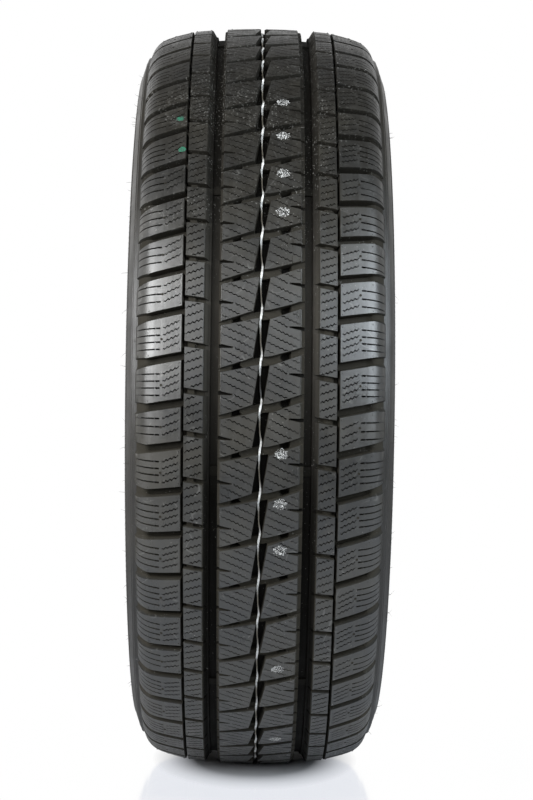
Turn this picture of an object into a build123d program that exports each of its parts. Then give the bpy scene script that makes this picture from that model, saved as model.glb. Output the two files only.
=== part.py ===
import os
from math import atan, cos, degrees, hypot, pi, radians, sin, sqrt

from build123d import *

# A 215/65 R16 light van winter tyre, moulded in one piece and standing on its tread.
# Y is the axle, Z is up, +X is the front, and the origin is the middle of the wheel. Sizes in mm.

# Overall sizes
outside_diameter = 686.0
section_width = 221.0
bead_diameter = 405.6          # seat of a 16 inch rim
bead_spacing = 165.1           # 6.5 inch rim, between its flanges
flat_spot_depth = 1.2          # how far the tread gives under the tyre's own weight

# Tread across its width: offsets from the middle plane, drops from the outside radius
crown_radius = 600.0           # arc across the ribs
tread_depth = 10.0
main_groove_inner = 32.5
main_groove_outer = 45.5
narrow_groove_inner = 61.2
narrow_groove_outer = 63.2
narrow_groove_depth = 8.5
tread_edge_offset = 94.0
tread_edge_drop = 13.7
buttress_offset = 104.0        # top of the sidewall, where the shoulder blocks run out
buttress_drop = 31.0
shoulder_slope = 1.9           # fall over run of the blocks' outer ends

# Pitches around the tread, upwards from the first one's angle above the front
pitch_order = "LLSLLLLLSLLSSSSLSL" + "LSLLLSLLSSLLSLSLLSLLLSLSLLLSLLSLLSLLLSLSL"
long_pitch_ratio = 1.1         # long pitch over short pitch
first_pitch_angle = -56.1

# Slanted grooves: place along the tread after the pitch's start, at the end nearest the middle plane,
# and rise over run to the right
left_shoulder_groove = (-3.5, 0.166)
right_shoulder_groove = (-11.3, 0.193)
shoulder_groove_width = 6.6
shoulder_groove_depth = 7.5
left_rib_slot = (3.9, -0.16)
right_rib_slot = (17.8, -0.18)
rib_slot_width = 4.0
rib_slot_depth = 6.0
left_block_groove = (-6.0, 0.304)
right_block_groove = (-8.1, 0.262)
block_groove_width = 5.2
block_groove_depth = 6.5

# Sawtooth groove along the middle, one straight length to a pitch
saw_groove_width = 7.8
saw_groove_depth = 8.5
saw_groove_lean = 4.6          # sideways run over one pitch
saw_groove_start = -5.7        # along the tread after the pitch's start

# Sidewall, bead and inside
wall_top_radius = 298.0        # the sidewall stands upright from here down to its widest radius
widest_radius = 272.0
heel_height = 7.0
heel_chamfer = 4.0
bead_width = 16.5
tread_base = 6.5               # rubber and cords under the main grooves
sidewall_gauge = 9.0
liner_flat_offset = 62.0
liner_widest_radius = 280.0
lower_steps = 2                # straight steps that follow the sidewall's arc down to the bead

outside_radius = outside_diameter / 2
bead_radius = bead_diameter / 2
base_radius = outside_radius - tread_depth
letters = [long_pitch_ratio if letter == "L" else 1.0 for letter in pitch_order]
lengths = [letter * pi * outside_diameter / sum(letters) for letter in letters]
starts = [radians(first_pitch_angle) * outside_radius + sum(lengths[:i]) for i in range(len(lengths))]


def crown(offset):
    """Radius of the tread's surface at an offset from the middle plane."""
    return outside_radius - crown_radius + sqrt(crown_radius**2 - offset**2)


def steps_along(arc, steps):
    """Points at equal turns along an arc, both ends included."""
    places = [arc @ (i / steps) for i in range(steps + 1)]
    return [(place.X, place.Y) for place in places]


def turned(half):
    """Solid of a symmetrical section about the axle, from the (offset, radius) points of its right half."""
    left = [(-offset, radius) for offset, radius in reversed(half)]
    return revolve(make_face(Plane.YX * Polyline(*half, *left, close=True)), axis=Axis.Y)


# Surface that the blocks stand on, from a main groove past the narrow groove to the top of the sidewall
block_base = [
    (main_groove_outer, base_radius),
    (narrow_groove_inner, crown(narrow_groove_inner) - narrow_groove_depth),
    (buttress_offset, outside_radius - buttress_drop),
]


def carcass():
    """All that lies under the blocks: tread base, sidewalls, beads and liner."""
    widest = (section_width / 2, widest_radius)
    heel = bead_spacing / 2
    heel_top = (heel, bead_radius + heel_height)
    wall_top = (section_width / 2, wall_top_radius)
    lower = steps_along(TangentArc(widest, heel_top, tangent=(0, -1)), lower_steps)
    sole = [(heel - heel_chamfer, bead_radius), (heel - bead_width, bead_radius)]
    liner = [
        (widest[0] - sidewall_gauge, liner_widest_radius),
        (liner_flat_offset, base_radius - tread_base),
    ]
    return turned(block_base + [wall_top] + lower + sole + liner)


def inside_tread():
    """Space inside the rings of blocks, half way down into the tread base."""
    rim = [(offset, radius - tread_base / 2) for offset, radius in block_base]
    return turned(rim + [(section_width / 2, bead_radius), (section_width / 2, 0)])


def toothed_disc(offset, top, depth, groove, width, run):
    """Cross-section of a ring of blocks at an offset: a disc with a tapered gap for each groove."""
    place, slope = groove
    half = width * hypot(1, slope) / 2
    points = []
    for start in starts:
        middle = start + place + slope * run
        for along, radius in ((middle - half, top), (middle, top - depth), (middle + half, top)):
            turn = along / outside_radius
            points.append((radius * cos(turn), offset, radius * sin(turn)))
    return make_face(Polyline(*points, close=True))


def shoulder_ring(side, groove):
    """Blocks of one shoulder, which run out under the top of the sidewall."""
    tread_edge = outside_radius - tread_edge_drop
    end = tread_edge - shoulder_slope * (buttress_offset - tread_edge_offset)
    discs = []
    for offset, top in (
        (narrow_groove_outer, crown(narrow_groove_outer)),
        (tread_edge_offset, tread_edge),
        (buttress_offset, end),
    ):
        run = side * (offset - narrow_groove_outer)
        teeth = toothed_disc(side * offset, top, shoulder_groove_depth, groove, shoulder_groove_width, run)
        discs.append(teeth)
    return loft(discs, ruled=True)


def rib_ring(side, slot):
    """Rib between a main groove and a narrow groove, cut by its slots."""
    discs = []
    for offset in (main_groove_outer, narrow_groove_inner):
        run = side * (offset - main_groove_outer)
        teeth = toothed_disc(side * offset, crown(offset), rib_slot_depth, slot, rib_slot_width, run)
        discs.append(teeth)
    return loft(discs, ruled=True)


def middle_ring():
    """The two rows of blocks between the main grooves, parted by the sawtooth groove."""
    tip = (saw_groove_width - saw_groove_lean) / 2
    discs = []
    for offset, groove in (
        (-main_groove_inner, left_block_groove),
        (-tip, left_block_groove),
        (tip, right_block_groove),
        (main_groove_inner, right_block_groove),
    ):
        teeth = toothed_disc(offset, crown(offset), block_groove_depth, groove, block_groove_width, offset)
        discs.append(teeth)
    return loft(discs, ruled=True) - [saw_cut(*pitch) for pitch in zip(starts, lengths)]


def saw_cut(start, length):
    """One leaning length of the sawtooth groove, long enough to run into the next block groove."""
    turn = (start + saw_groove_start + length / 2) / outside_radius
    facing = Plane(origin=(0, 0, 0), x_dir=(0, 1, 0), z_dir=(cos(turn), 0, sin(turn)))
    lean = degrees(atan(saw_groove_lean / length))
    cut = Box(saw_groove_width, length + block_groove_width / 2, 2 * saw_groove_depth)
    return facing * Pos(0, 0, outside_radius) * Rot(0, 0, -lean) * cut


def main():
    rings = [
        shoulder_ring(-1, left_shoulder_groove),
        rib_ring(-1, left_rib_slot),
        middle_ring(),
        rib_ring(1, right_rib_slot),
        shoulder_ring(1, right_shoulder_groove),
    ]
    inside = inside_tread()
    below = (Align.CENTER, Align.CENTER, Align.MAX)
    ground = Box(outside_diameter, section_width, outside_radius, align=below)
    tyre = carcass() + [ring - inside for ring in rings]
    tyre -= Pos(0, 0, flat_spot_depth - outside_radius) * ground
    os.makedirs("parts", exist_ok=True)
    export_step(tyre, "parts/tyre.step")


main()
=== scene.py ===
import math

import bmesh
import bpy
import numpy as np
from mathutils import Matrix, Vector


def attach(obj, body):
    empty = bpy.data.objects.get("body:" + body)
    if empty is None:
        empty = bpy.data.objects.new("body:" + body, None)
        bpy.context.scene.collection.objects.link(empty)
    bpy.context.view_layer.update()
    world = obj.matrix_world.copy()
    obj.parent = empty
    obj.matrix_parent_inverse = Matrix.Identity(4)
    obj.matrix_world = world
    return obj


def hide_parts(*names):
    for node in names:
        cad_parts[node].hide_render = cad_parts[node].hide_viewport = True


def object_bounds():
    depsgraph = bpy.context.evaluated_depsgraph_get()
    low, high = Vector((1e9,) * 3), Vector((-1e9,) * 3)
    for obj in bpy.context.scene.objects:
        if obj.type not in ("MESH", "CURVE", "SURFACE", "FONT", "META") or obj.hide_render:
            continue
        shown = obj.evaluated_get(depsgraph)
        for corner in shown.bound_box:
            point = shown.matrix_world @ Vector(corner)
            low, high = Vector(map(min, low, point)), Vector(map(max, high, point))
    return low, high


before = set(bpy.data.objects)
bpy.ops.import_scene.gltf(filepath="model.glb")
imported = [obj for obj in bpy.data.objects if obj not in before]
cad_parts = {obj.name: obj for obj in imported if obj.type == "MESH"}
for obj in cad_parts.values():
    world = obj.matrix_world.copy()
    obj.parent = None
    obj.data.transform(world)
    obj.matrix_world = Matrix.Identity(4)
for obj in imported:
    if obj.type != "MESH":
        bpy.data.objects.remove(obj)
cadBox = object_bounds()
floorLevel = cadBox[0].z
print("frame loaded, floor at", round(floorLevel, 4))

# Lengths are millimetres until a mesh is made. The axle is Y, up is Z, and the photograph looks from +X.
# "along" runs around the tread from the front, upwards. "offset" is the distance from the middle plane,
# positive on the right, "across" is the same distance measured over the surface, and "far" is an offset
# without its sign. "sink" is how deep a point lies under the outside
tyre = {
    "radius": 343.0,
    "crown": 600.0,                 # arc across the ribs
    "crownEnd": 62.0,
    "crownPoints": 63,
    # long and short pitches upwards, first those that the photograph shows
    "pitchOrder": "LLSLLLLLSLLSSSSLSL" + "LSLLLSLLSSLLSLSLLSLLLSLSLLLSLLSLLSLLLSLSL",
    "longRatio": 1.1,               # long pitch over short pitch
    "firstAngle": -56.1,            # where the first pitch starts, degrees above the front
    "outside": [                    # past the crown, down to the bead's heel: offset, radius, rounding
        (79.0, 335.6, 7.3),
        (95.0, 330.0, 9.5),
        (110.3, 300.3, 14.0),
        (110.3, 266.0, 16.0),
        (102.6, 238.0, 12.0),
        (93.0, 222.5, 5.0),
        (82.5, 212.0, 4.0),
        (82.5, 205.5, 2.5),
        (79.0, 202.8, 2.5),
    ],
    "tableStep": 0.5,               # of the tables of the outside
}
outsideRadius = tyre["radius"]
girth = 2 * math.pi * outsideRadius
letterRatio = {"L": tyre["longRatio"], "S": 1.0}
shortLength = girth / sum(letterRatio[letter] for letter in tyre["pitchOrder"])
letterLength = {letter: ratio * shortLength for letter, ratio in letterRatio.items()}
pitchLengths = np.array([letterLength[letter] for letter in tyre["pitchOrder"]])
pitchStarts = math.radians(tyre["firstAngle"]) * outsideRadius + np.r_[0, np.cumsum(pitchLengths)[:-1]]


# A polyline with soft corners: each corner is cut back along both sides, and a parabola joins the two cuts
def roundedPath(corners, steps=9):
    corners = np.array(corners, float)
    places, cut = corners[:, :2], corners[:, 2:]
    towards = np.vstack([places[:1], places[:-1]]) - places
    onwards = np.vstack([places[1:], places[-1:]]) - places
    towards /= np.maximum(np.linalg.norm(towards, axis=1, keepdims=True), 1e-9)
    onwards /= np.maximum(np.linalg.norm(onwards, axis=1, keepdims=True), 1e-9)
    u = np.linspace(0, 1, steps)[None, :, None]
    start, end = places + towards * cut, places + onwards * cut
    curve = (1 - u) ** 2 * start[:, None] + 2 * u * (1 - u) * places[:, None] + u ** 2 * end[:, None]
    curve = curve.reshape(-1, 2)
    fresh = np.r_[True, np.linalg.norm(np.diff(curve, axis=0), axis=1) > 1e-4]
    return curve[fresh]


# Radius of the crown's arc at an offset: the height of its circle there, whose top is at the outside radius
def crownAt(offset):
    return outsideRadius - tyre["crown"] + np.sqrt(tyre["crown"] ** 2 - offset ** 2)


# The outside of the right half as tables over the distance across it: offset, radius and outward normal
crownOffsets = np.linspace(0, tyre["crownEnd"], tyre["crownPoints"])
outsidePath = np.vstack([
    np.stack([crownOffsets, crownAt(crownOffsets)], 1)[:-1],
    roundedPath([(tyre["crownEnd"], crownAt(tyre["crownEnd"]), 0.0)] + tyre["outside"]),
])
pathLength = np.r_[0, np.cumsum(np.linalg.norm(np.diff(outsidePath, axis=0), axis=1))]
sectionAcross = np.arange(0, pathLength[-1], tyre["tableStep"])
sectionOffset = np.interp(sectionAcross, pathLength, outsidePath[:, 0])
sectionRadius = np.interp(sectionAcross, pathLength, outsidePath[:, 1])
sectionNormal = np.stack([-np.gradient(sectionRadius), np.gradient(sectionOffset)], 1)
sectionNormal /= np.linalg.norm(sectionNormal, axis=1, keepdims=True)
widest = int(np.argmax(sectionOffset))


# Distance across at a radius on the right sidewall, read from the tables
def acrossAtRadius(radius):
    return np.interp(-np.asarray(radius, float), -sectionRadius, sectionAcross)


# Distance across at an offset on the tread or shoulder, either side, read from the tables
def acrossAt(offset):
    offset = np.asarray(offset, float)
    return np.sign(offset) * np.interp(np.abs(offset), sectionOffset[:widest], sectionAcross[:widest])


# The section gives an offset and a radius for the distance across. The point is sunk along the section's
# normal, and then the radius swings about the axle by along over the outside radius
def onTyre(across, along, sink):
    across, along, sink = np.broadcast_arrays(across, along, sink)
    far = np.abs(across)
    offset = np.interp(far, sectionAcross, sectionOffset)
    offset = offset - sink * np.interp(far, sectionAcross, sectionNormal[:, 0])
    radius = np.interp(far, sectionAcross, sectionRadius)
    radius = radius - sink * np.interp(far, sectionAcross, sectionNormal[:, 1])
    turn = along / outsideRadius
    return np.stack([radius * np.cos(turn), np.sign(across) * offset, radius * np.sin(turn)], -1)


# Quads of a grid of points with so many lines and columns, either way round closed or open
def gridFaces(lines, columns, closeLines=False, closeColumns=False):
    line = np.arange(lines if closeLines else lines - 1)[:, None]
    column = np.arange(columns if closeColumns else columns - 1)[None, :]
    nextLine, nextColumn = (line + 1) % lines, (column + 1) % columns
    corners = [line * columns + column, line * columns + nextColumn,
               nextLine * columns + nextColumn, nextLine * columns + column]
    return np.stack(np.broadcast_arrays(*corners), -1).reshape(-1, 4)


# The same faces for each of so many copies of a shape, whose points follow each other
def copiedFaces(faces, copies, pointsEach):
    return (faces[None] + (np.arange(copies) * pointsEach)[:, None, None]).reshape(-1, faces.shape[1])


# Materials

# A new material with its node tree and its main shader
def newMaterial(name):
    material = bpy.data.materials.new(name)
    material.use_nodes = True
    tree = material.node_tree
    return material, tree, tree.nodes["Principled BSDF"]


# A node with its settings, whose inputs are linked to sockets or set to values
def addNode(tree, kind, inputs=None, **settings):
    node = tree.nodes.new(kind)
    for key, value in settings.items():
        setattr(node, key, value)
    for key, value in (inputs or {}).items():
        if isinstance(value, bpy.types.NodeSocket):
            tree.links.new(value, node.inputs[key])
        else:
            node.inputs[key].default_value = value
    return node


# A noise on the piece's own coordinates, its size given in millimetres
def noiseAt(tree, coords, sizeMm, detail=3.0, roughness=0.55):
    node = addNode(tree, "ShaderNodeTexNoise", {
        "Vector": coords, "Scale": 1000.0 / sizeMm, "Detail": detail, "Roughness": roughness})
    return node.outputs["Fac"]


# A value carried from one range to another
def remap(tree, value, old, new=(0.0, 1.0)):
    node = addNode(tree, "ShaderNodeMapRange", {
        "Value": value, "From Min": old[0], "From Max": old[1], "To Min": new[0], "To Max": new[1]})
    return node.outputs["Result"]


# A noise carried from the range where it counts to the range that it gives
def noiseMask(tree, coords, noise, old, new=(0.0, 1.0)):
    return remap(tree, noiseAt(tree, coords, *noise), old, new)


# Two values added, multiplied or compared
def calculate(tree, operation, first, second):
    return addNode(tree, "ShaderNodeMath", {0: first, 1: second}, operation=operation).outputs[0]


# The first colour where the factor is 0, the second where it is 1
def blend(tree, factor, first, second):
    return addNode(tree, "ShaderNodeMix", {0: factor, 6: first, 7: second}, data_type="RGBA").outputs[2]


treadLook = {
    "top": (0.0200, 0.0201, 0.0192, 1),     # worn grey of the blocks' tops
    "film": (0.037, 0.034, 0.027, 1),       # dry brownish film in patches
    "upperTop": (0.0100, 0.0087, 0.0065, 1),    # brown dust in patches on the upper side, darker than the tops as painted shade where less light falls from above
    "scratch": (0.11, 0.108, 0.10, 1),      # thin curved scuffs
    "speck": (0.21, 0.205, 0.19, 1),        # grains of pale dust
    "speckFrom": (0.675, 0.605),            # noise above which there is a grain, low down and high up
    "groove": (0.0215, 0.0195, 0.0148, 1),  # dusty rubber on the shallow floors
    "grooveLit": (0.031, 0.0282, 0.0220, 1),    # the same at middle height and above, painted lighter as if the lamps lit them there
    "shelf": (0.032, 0.0288, 0.0222, 1),    # the shallowest ones, out on the shoulders
    "deep": (0.0056, 0.0050, 0.0038, 1),    # painted shade at the bottom of the deep grooves and in the slits, darker than the rubber itself
    "upperGroove": (0.0145, 0.0132, 0.0106, 1),     # all of them on the upper side, brown dust and painted shade where less light falls from above
    "floorDustAndLight": (0.045, 0.0415, 0.035, 1),     # dust and painted light on the main grooves' floors and sides at middle height, where the lamps light them
    "roughness": (0.28, 0.42),
    "specular": 1.0,
    "grain": 0.20,
    "streak": 14.0,                         # how many times longer the wear marks are than wide
}
grooveLook = {**treadLook, "roughness": (0.62, 0.78), "specular": 0.10, "grain": 0.25}
wallLook = {
    "top": (0.0188, 0.0178, 0.0162, 1),
    "film": (0.029, 0.0268, 0.0228, 1),
    "upperTop": (0.030, 0.026, 0.019, 1),
    "scratch": (0.05, 0.049, 0.046, 1),
    "speck": (0.12, 0.118, 0.11, 1),
    "speckFrom": (0.73, 0.69),
    **dict.fromkeys(("groove", "grooveLit", "shelf"), (0.014, 0.0130, 0.0112, 1)),
    "deep": (0.0062, 0.0058, 0.0050, 1),
    "upperGroove": (0.0165, 0.0150, 0.0122, 1),
    "floorDustAndLight": (0.0165, 0.0152, 0.0128, 1),
    "roughness": (0.36, 0.48),
    "specular": 0.54,
    "grain": 0.15,
    "streak": 1.0,
}

# What all the rubber shares: heights in metres, sinks in millimetres, and noises with their size in
# millimetres, detail and roughness, each with the range of it that counts and the range that it gives
rubberPattern = {
    "upper": (0.07, 0.24),              # heights between which the upper side starts
    "risen": (-0.08, 0.05),             # heights between which the middle starts, where the floors are painted lighter as if lit
    "middleEnd": (0.08, 0.18),          # and between which it ends
    "floors": (0.4, 2.2),               # sinks between which the tops turn to floors
    "shelfEnd": (3.0, 4.4),             # the same for shelves and shallow floors
    "deepFloors": (6.5, 9.0),           # for shallow and deep ones, the deep ones painted dark as shade
    "mainFloors": (9.62, 9.78),         # and for deep ones and those of the main grooves
    "patches": ((70.0, 6.0, 0.62), (0.40, 0.66)),
    "smudges": ((6.0, 4.0, 0.7), (0.46, 0.74), (0.0, 0.7)),
    "scuffs": (34.0, 1.0),
    "scuffHalf": (0.003, 0.009),        # how near to its middle value the noise makes a line
    "breaks": ((13.0, 2.0), (0.52, 0.62), (0.0, 0.6)),
    "upperPatchNoise": ((9.0, 5.0, 0.7), (0.40, 0.62), (0.3, 0.9)),
    "grains": (1.7, 2.0, 0.5),
    "grainEdge": ((0.0, 0.06), (0.0, 0.7)),
    "clouds": ((45.0, 3.0), (0.45, 0.6), (0.15, 1.0)),
    "polish": ((24.0, 4.0), (0.3, 0.7)),
    "streaks": (30.0, 3.0),
    "streakPolish": ((0.3, 0.7), (-0.05, 0.05)),
    "fineGrain": (0.9, 2.0),
    "coarseGrain": (7.0, 3.0),
    "grainHeight": 0.0004,              # metres
}


# Grey rubber: patches of dry film and grains of dust on the surface, browner on the shallow floors and
# nearly black in the deep ones as painted shade, with a fine moulded grain. The floors are painted lighter
# at middle height as if lit, and brown dust with painted shade darkens the upper side. The scuffs are thin
# lines where a slow noise crosses its middle value, broken up by a quicker one, and the polish varies in
# streaks along the tread
def makeRubber(name, look):
    material, tree, shader = newMaterial(name)
    pattern = rubberPattern
    coords = addNode(tree, "ShaderNodeTexCoord").outputs["Object"]
    sink = addNode(tree, "ShaderNodeAttribute", attribute_name="sink").outputs["Fac"]
    level = addNode(tree, "ShaderNodeSeparateXYZ", {0: coords}).outputs["Z"]
    upper = remap(tree, level, pattern["upper"])
    risen = remap(tree, level, pattern["risen"])

    patches = noiseMask(tree, coords, *pattern["patches"])
    smudges = noiseMask(tree, coords, *pattern["smudges"])
    tops = blend(tree, calculate(tree, "MAXIMUM", patches, smudges), look["top"], look["film"])
    crossing = calculate(tree, "SUBTRACT", noiseAt(tree, coords, *pattern["scuffs"]), 0.5)
    crossing = calculate(tree, "ABSOLUTE", crossing, 0.0)
    scuffs = calculate(tree, "MULTIPLY", remap(tree, crossing, pattern["scuffHalf"], (1.0, 0.0)),
                       noiseMask(tree, coords, *pattern["breaks"]))
    tops = blend(tree, scuffs, tops, look["scratch"])
    # brown dust and painted shade: patches on the upper side turn the tops darker
    upperPatches = calculate(tree, "MULTIPLY", upper, noiseMask(tree, coords, *pattern["upperPatchNoise"]))
    tops = blend(tree, upperPatches, tops, look["upperTop"])

    # painted light: the floors turn lighter at middle height and above
    floors = blend(tree, risen, look["groove"], look["grooveLit"])
    floors = blend(tree, remap(tree, sink, pattern["shelfEnd"]), look["shelf"], floors)
    # painted shade: the deep floors and the slits turn nearly black
    floors = blend(tree, remap(tree, sink, pattern["deepFloors"]), floors, look["deep"])
    # brown dust and painted shade: all the floors darker on the upper side
    floors = blend(tree, upper, floors, look["upperGroove"])
    # dust and painted light: the main grooves' floors and sides lighter at middle height
    middleHeight = calculate(tree, "MULTIPLY", risen, remap(tree, level, pattern["middleEnd"], (1.0, 0.0)))
    mainFloors = calculate(tree, "MULTIPLY", remap(tree, sink, pattern["mainFloors"]), middleHeight)
    floors = blend(tree, mainFloors, floors, look["floorDustAndLight"])
    colour = blend(tree, remap(tree, sink, pattern["floors"]), tops, floors)

    above = calculate(tree, "SUBTRACT", noiseAt(tree, coords, *pattern["grains"]),
                      remap(tree, upper, (0.0, 1.0), look["speckFrom"]))
    specks = calculate(tree, "MULTIPLY", remap(tree, above, *pattern["grainEdge"]),
                       noiseMask(tree, coords, *pattern["clouds"]))
    tree.links.new(blend(tree, specks, colour, look["speck"]), shader.inputs["Base Color"])

    stretched = addNode(tree, "ShaderNodeVectorMath", {0: coords, 1: (1, look["streak"], 1)},
                        operation="MULTIPLY").outputs[0]
    streaks = noiseAt(tree, stretched, *pattern["streaks"])
    polish = calculate(tree, "ADD", noiseMask(tree, coords, *pattern["polish"], look["roughness"]),
                       remap(tree, streaks, *pattern["streakPolish"]))
    tree.links.new(polish, shader.inputs["Roughness"])
    shader.inputs["Specular IOR Level"].default_value = look["specular"]
    grain = calculate(tree, "ADD", noiseAt(tree, coords, *pattern["fineGrain"]),
                      noiseAt(tree, coords, *pattern["coarseGrain"]))
    grain = calculate(tree, "ADD", grain, streaks)
    bump = addNode(tree, "ShaderNodeBump", {
        "Height": grain, "Strength": look["grain"], "Distance": pattern["grainHeight"]})
    tree.links.new(bump.outputs["Normal"], shader.inputs["Normal"])
    return material


paintLook = {
    "wear": ((2.2, 4.0, 0.65), (0.42, 0.58)),       # noise, and the range of it that counts
    "dirtAndShade": (4.0, 6.0),                            # sinks between which the paint turns dirty and darker with painted shade
    "roughness": 0.6,
}


# Paint that is worn in patches, and dirtier and darker with painted shade the deeper it lies
def makePaint(name, colour, worn, dirtAndShade):
    material, tree, shader = newMaterial(name)
    coords = addNode(tree, "ShaderNodeTexCoord").outputs["Object"]
    sink = addNode(tree, "ShaderNodeAttribute", attribute_name="sink").outputs["Fac"]
    clean = blend(tree, noiseMask(tree, coords, *paintLook["wear"]), worn, colour)
    shown = blend(tree, remap(tree, sink, paintLook["dirtAndShade"]), clean, dirtAndShade)
    tree.links.new(shown, shader.inputs["Base Color"])
    shader.inputs["Roughness"].default_value = paintLook["roughness"]
    return material


treadRubber = makeRubber("treadRubber", treadLook)
grooveRubber = makeRubber("grooveRubber", grooveLook)
wallRubber = makeRubber("wallRubber", wallLook)
whitePaint = makePaint("whitePaint", colour=(0.88, 0.88, 0.86, 1), worn=(0.58, 0.58, 0.56, 1),
                       dirtAndShade=(0.30, 0.27, 0.21, 1))
whiteInk = makePaint("whiteInk", colour=(0.62, 0.62, 0.60, 1), worn=(0.20, 0.20, 0.195, 1),
                     dirtAndShade=(0.20, 0.20, 0.195, 1))
greenInk = makePaint("greenInk", colour=(0.012, 0.16, 0.085, 1), worn=(0.03, 0.075, 0.055, 1),
                     dirtAndShade=(0.02, 0.07, 0.05, 1))
print("materials made")

meshing = {
    "metres": 0.001,                # to a millimetre
    "merged": 2e-6,                 # points nearer than this are one, metres
    "dissolved": 1e-6,              # and edges shorter than this go
    "sharpAngle": 32.0,             # degrees
    "dullFrom": 2.0,                # faces duller than this are of groove rubber
}


# Faces whose corners are duller on average than the limit get the second material
def setDullFaces(mesh, limit):
    value = np.empty(len(mesh.vertices), np.float32)
    corner = np.empty(len(mesh.loops), np.int32)
    start, total = np.empty((2, len(mesh.polygons)), np.int32)
    mesh.attributes["dull"].data.foreach_get("value", value)
    mesh.loops.foreach_get("vertex_index", corner)
    mesh.polygons.foreach_get("loop_start", start)
    mesh.polygons.foreach_get("loop_total", total)
    second = np.add.reduceat(value[corner], start) / total > limit
    mesh.polygons.foreach_set("material_index", second.astype(np.int32))
    mesh.attributes.remove(mesh.attributes["dull"])


# A piece of the tyre from points in millimetres: nothing reaches under the floor, doubled points are merged,
# the points' tone is the sink that the material reads, and the dull faces are of groove rubber
def makePiece(name, points, faces, material, tone, sharpAngle=meshing["sharpAngle"], dull=None,
              dullFrom=meshing["dullFrom"]):
    values = {"sink": tone} if dull is None else {"sink": tone, "dull": dull}
    values = {key: np.broadcast_to(value, points.shape[:-1]).ravel() for key, value in values.items()}
    points = points.reshape(-1, 3) * meshing["metres"]
    points[:, 2] = np.maximum(points[:, 2], floorLevel)
    mesh = bpy.data.meshes.new(name)
    mesh.from_pydata(points, [], faces)
    for key, value in values.items():
        mesh.attributes.new(key, "FLOAT", "POINT").data.foreach_set("value", value.astype(np.float32))
    work = bmesh.new()
    work.from_mesh(mesh)
    bmesh.ops.remove_doubles(work, verts=work.verts, dist=meshing["merged"])
    bmesh.ops.dissolve_degenerate(work, edges=work.edges, dist=meshing["dissolved"])
    work.to_mesh(mesh)
    work.free()
    mesh.shade_smooth()
    mesh.set_sharp_from_angle(angle=math.radians(sharpAngle))
    mesh.materials.append(material)
    if dull is not None:
        mesh.materials.append(grooveRubber)
        setDullFaces(mesh, dullFrom)
    piece = bpy.data.objects.new(name, mesh)
    bpy.context.scene.collection.objects.link(piece)
    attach(piece, "root")
    print(name, len(mesh.polygons), "faces")
    return piece


# Tones and dullness that the pieces share. A tone is a sink that picks the colour, whatever the true depth,
# and deeper tones paint shade into it
mainTone = 9.8                      # true depth of the main grooves' floors, and the tone of their sides too, which paints the floor's shade and its light at middle height on them
slitTone = 9.0                      # of the bottoms of the slits, where they are deeper than the least depth, painted in the deep grooves' shade
slitLeast = 1.0
shelfTone = 3.0
edgeDull = 5.0                      # of the blocks' edges, so that they don't shine
floorDull = 3.0                     # the least of the grooves' floors

# Carcass: groove floors, sidewalls, beads and liner in one closed skin

carcass = {
    "turns": 310,
    "floorStep": 6.0,              # between the lines of the floor
    "wallStep": 3.0,               # between the lines of the sidewall
    "floorEnd": 93.0,              # across, where the floor starts to rise to the sidewall
    "rise": ([93.0, 107.5, 112.5], [mainTone, 3.0, 0.0]),     # its sink over the distance across
    "rings": [                     # raised rings on the sidewall: radius, width, height
        (314.8, 1.6, 0.7), (311.5, 1.0, 0.5), (298.5, 1.0, 0.5), (284.0, 1.0, 0.5), (252.0, 1.6, 0.5),
        (238.5, 3.2, 1.0), (229.0, 1.0, 0.5), (224.5, 1.0, 0.5), (220.0, 1.0, 0.5),
    ],
    "ringHalf": 0.75,              # half of a ring's foot over its width
    "ringLines": 5,
    "inside": [                    # bead's toe and liner up to the middle: offset, radius, rounding
        (67.0, 202.8, 1.5), (66.2, 207.0, 1.5), (78.0, 228.0, 8.0), (101.0, 272.0, 22.0),
        (94.0, 305.0, 16.0), (62.0, 326.0, 18.0), (0.0, 326.5, 0.0),
    ],
    "insideSteps": 6,              # points to a rounding
    "dullFrom": 5.0,
}


# The section is the outside sunk to the grooves' floor, raised by a round hump at each ring, and closed by
# the liner. Its mirror image makes the left half, and the whole loop turns about the axle
def makeCarcass():
    ringRadius, width, height = np.array(carcass["rings"]).T
    ringAcross = acrossAtRadius(ringRadius)
    half = carcass["ringHalf"] * width
    around = ringAcross[:, None] + half[:, None] * np.linspace(-1, 1, carcass["ringLines"])
    floors = np.arange(0, carcass["floorEnd"], carcass["floorStep"])
    walls = np.arange(carcass["floorEnd"], sectionAcross[-1], carcass["wallStep"])
    across = np.unique(np.r_[floors, walls, around.ravel()])
    away = np.clip(np.abs(across[:, None] - ringAcross) / half, 0, 1)
    sink = np.interp(across, *carcass["rise"]) - (height * (1 - away ** 2)).sum(1)
    outer = onTyre(across, 0.0, sink)[:, [1, 0]]
    liner = roundedPath(carcass["inside"], carcass["insideSteps"])
    right = np.vstack([outer, liner])
    offset, radius = np.vstack([right, (right * (-1, 1))[::-1][1:-1]]).T
    tone = np.r_[np.maximum(sink, 0), np.full(len(liner), shelfTone)]
    tone = np.r_[tone, tone[::-1][1:-1]]
    turn = np.linspace(0, 2 * np.pi, carcass["turns"], endpoint=False)[:, None]
    ring = np.broadcast_arrays(radius * np.cos(turn), offset, radius * np.sin(turn))
    faces = gridFaces(len(turn), len(offset), True, True)
    piece = makePiece("carcass", np.stack(ring, -1), faces, wallRubber, tone, dull=tone,
                      dullFrom=carcass["dullFrom"])
    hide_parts("tyre")


makeCarcass()

# Fine ribs that stand like rays in a ring on each sidewall
rays = {
    "count": 360,
    "inner": 285.6,                 # radii of the two ends
    "outer": 296.8,
    "half": 0.9,
    "crest": 0.35,                  # half of the flat crest over half of the ray
    "end": 0.06,                    # share of the length that slopes down, at either end
    "height": 0.45,
    "root": 0.25,                   # how deep its feet are sunk into the wall
}


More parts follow.
